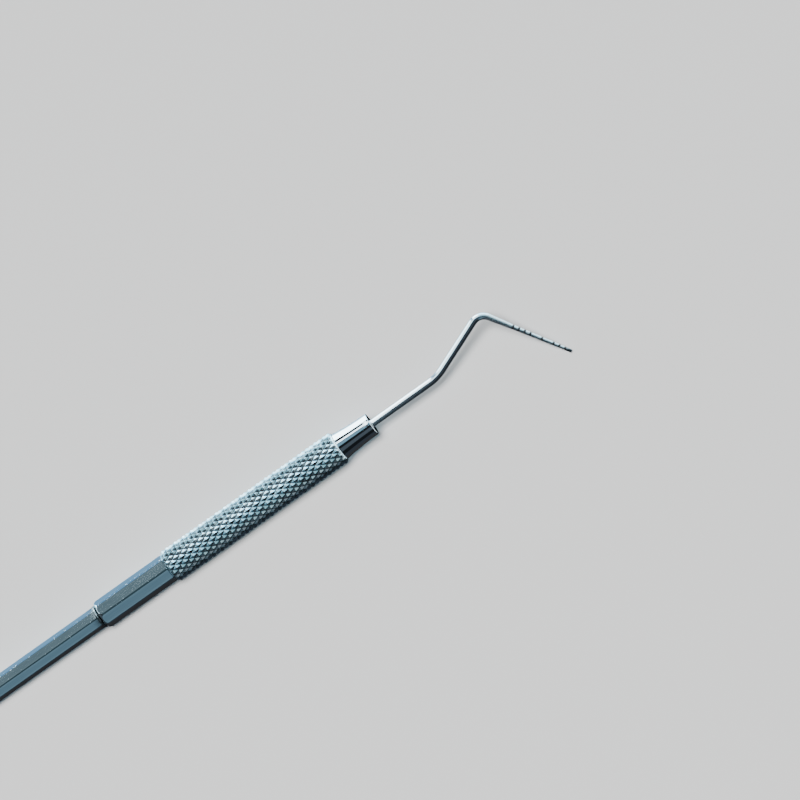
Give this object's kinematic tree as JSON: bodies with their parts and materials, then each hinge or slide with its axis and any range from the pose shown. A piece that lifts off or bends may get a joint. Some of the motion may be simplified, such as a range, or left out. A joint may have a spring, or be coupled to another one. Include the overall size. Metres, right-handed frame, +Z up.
{
  "type": "periodontal probe",
  "caption": "One-ended dental probe: octagonal steel handle with a diamond-knurled grip, polished tapered collar and a twice-bent round wire whose tapered tip carries black depth rings.",
  "frame": {"origin": "centre of the underside of the box round the instrument as it lies on a flat tray, on the knurled grip's rear edge and the rod's rear end, with the probe tip 0.07 mm above the tray", "axes": "+X along the handle towards the working end (the handle itself falls 0.66 degrees to the rear, because the grip is thicker than the rod), +Z up, +Y to the side that the wire's outer bend points to; the tip points to -Y and down. The plane of the bent wire is rolled 22.5 degrees about the handle, so that a flat of the octagonal rod faces straight down"},
  "size_m": [0.1654, 0.0128, 0.0061],
  "materials": {
    "polished_wire": "bright polished stainless steel wire, a little duller on the tapered tip",
    "mark_enamel": "black enamel baked into shallow grooves",
    "polished_collar": "mirror-polished stainless steel with fine turning lines",
    "knurled_steel": "satin stainless steel with sharp diamond knurling, bright crests and dull valleys",
    "satin_steel": "satin stainless steel ground along its length, with nicks on the octagon's edges"
  },
  "bodies": {
    "root": {"probe_wire": "polished_wire", "depth_mark_01mm": "mark_enamel", "depth_mark_02mm": "mark_enamel", "depth_mark_03mm": "mark_enamel", "depth_mark_05mm": "mark_enamel", "depth_mark_07mm": "mark_enamel", "depth_mark_08mm": "mark_enamel", "depth_mark_09mm": "mark_enamel", "depth_mark_10mm": "mark_enamel", "front_collar": "polished_collar", "knurled_grip": "knurled_steel", "octagonal_neck": "satin_steel", "rear_rod": "satin_steel"}
  },
  "joints": []
}
